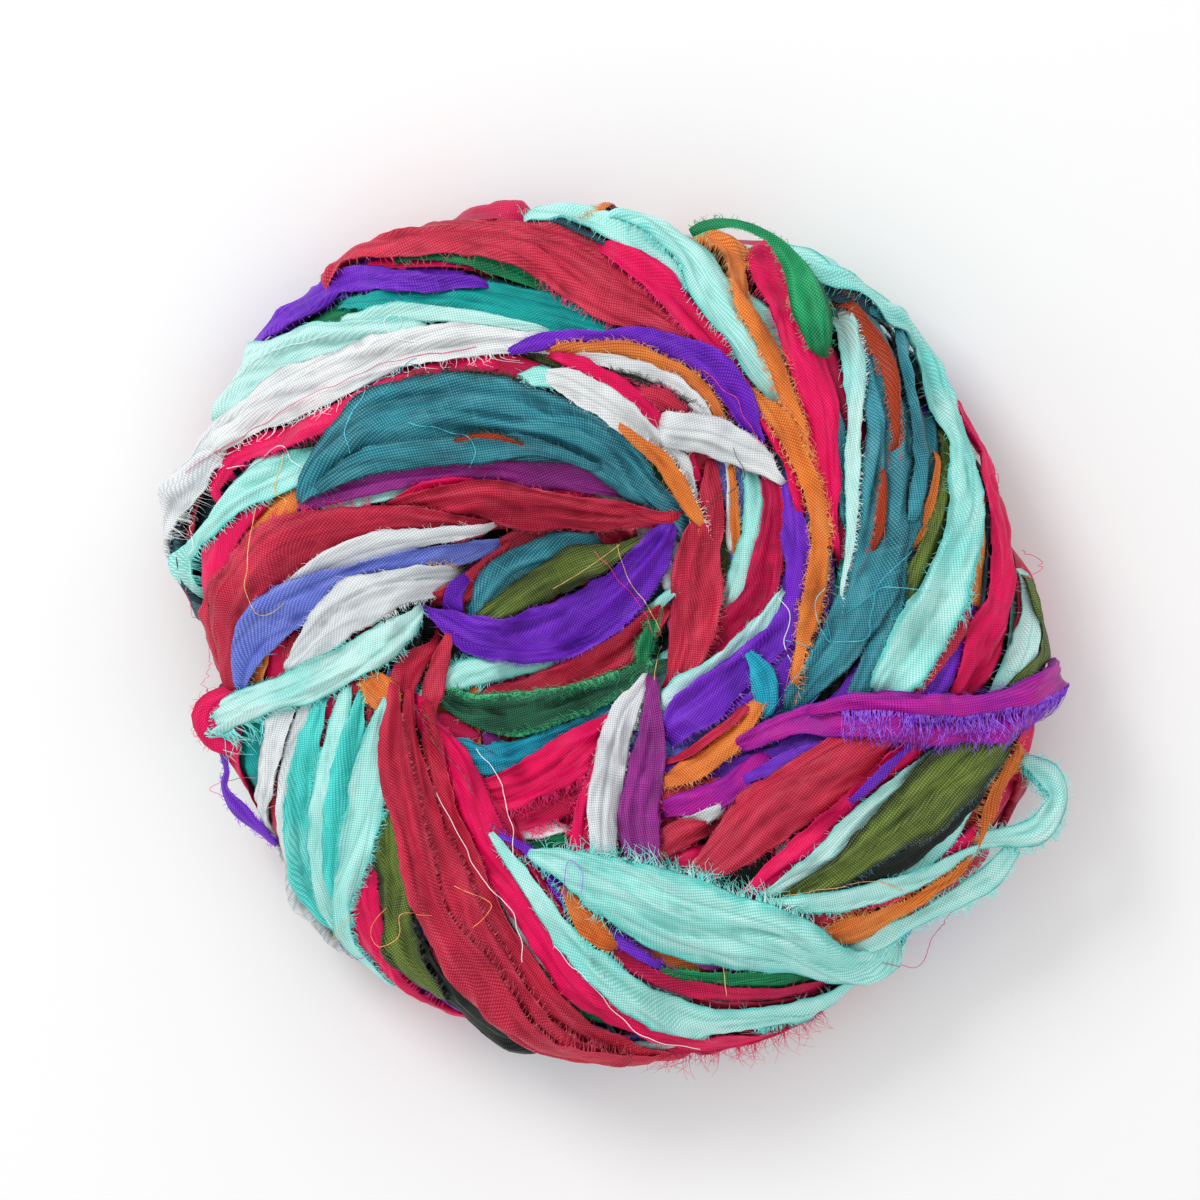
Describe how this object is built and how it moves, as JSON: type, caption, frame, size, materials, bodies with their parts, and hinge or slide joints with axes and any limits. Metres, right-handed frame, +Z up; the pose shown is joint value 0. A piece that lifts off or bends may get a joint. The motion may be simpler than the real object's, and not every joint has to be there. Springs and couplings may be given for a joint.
{
  "type": "skein of silk ribbon yarn",
  "caption": "Hank of frayed recycled silk ribbon, twisted and coiled into a low round swirl that lies flat, with crossing bands of ribbon and slack loops at its edge.",
  "frame": {"origin": "centre of the coil's bounding box seen from above, at the underside that rests on the surface", "axes": "+Z up, the coil's thickness; +X across the coil's longest width, to the right in the picture; +Y to the top of the picture"},
  "size_m": [0.2026, 0.1936, 0.0488],
  "materials": {
    "mixed_silk": "torn silk ribbon in crimson, fuchsia, petrol, mint, violet, silver, olive and orange, with a soft sheen and frayed edges",
    "magenta_silk": "magenta and violet silk with a soft sheen",
    "mint_silk": "pale mint silk with a turquoise frayed edge",
    "white_silk": "undyed white silk"
  },
  "bodies": {
    "root": {"wound_skein": "mixed_silk", "magenta_band": "magenta_silk", "mint_band": "mint_silk", "white_band": "white_silk"}
  },
  "joints": []
}
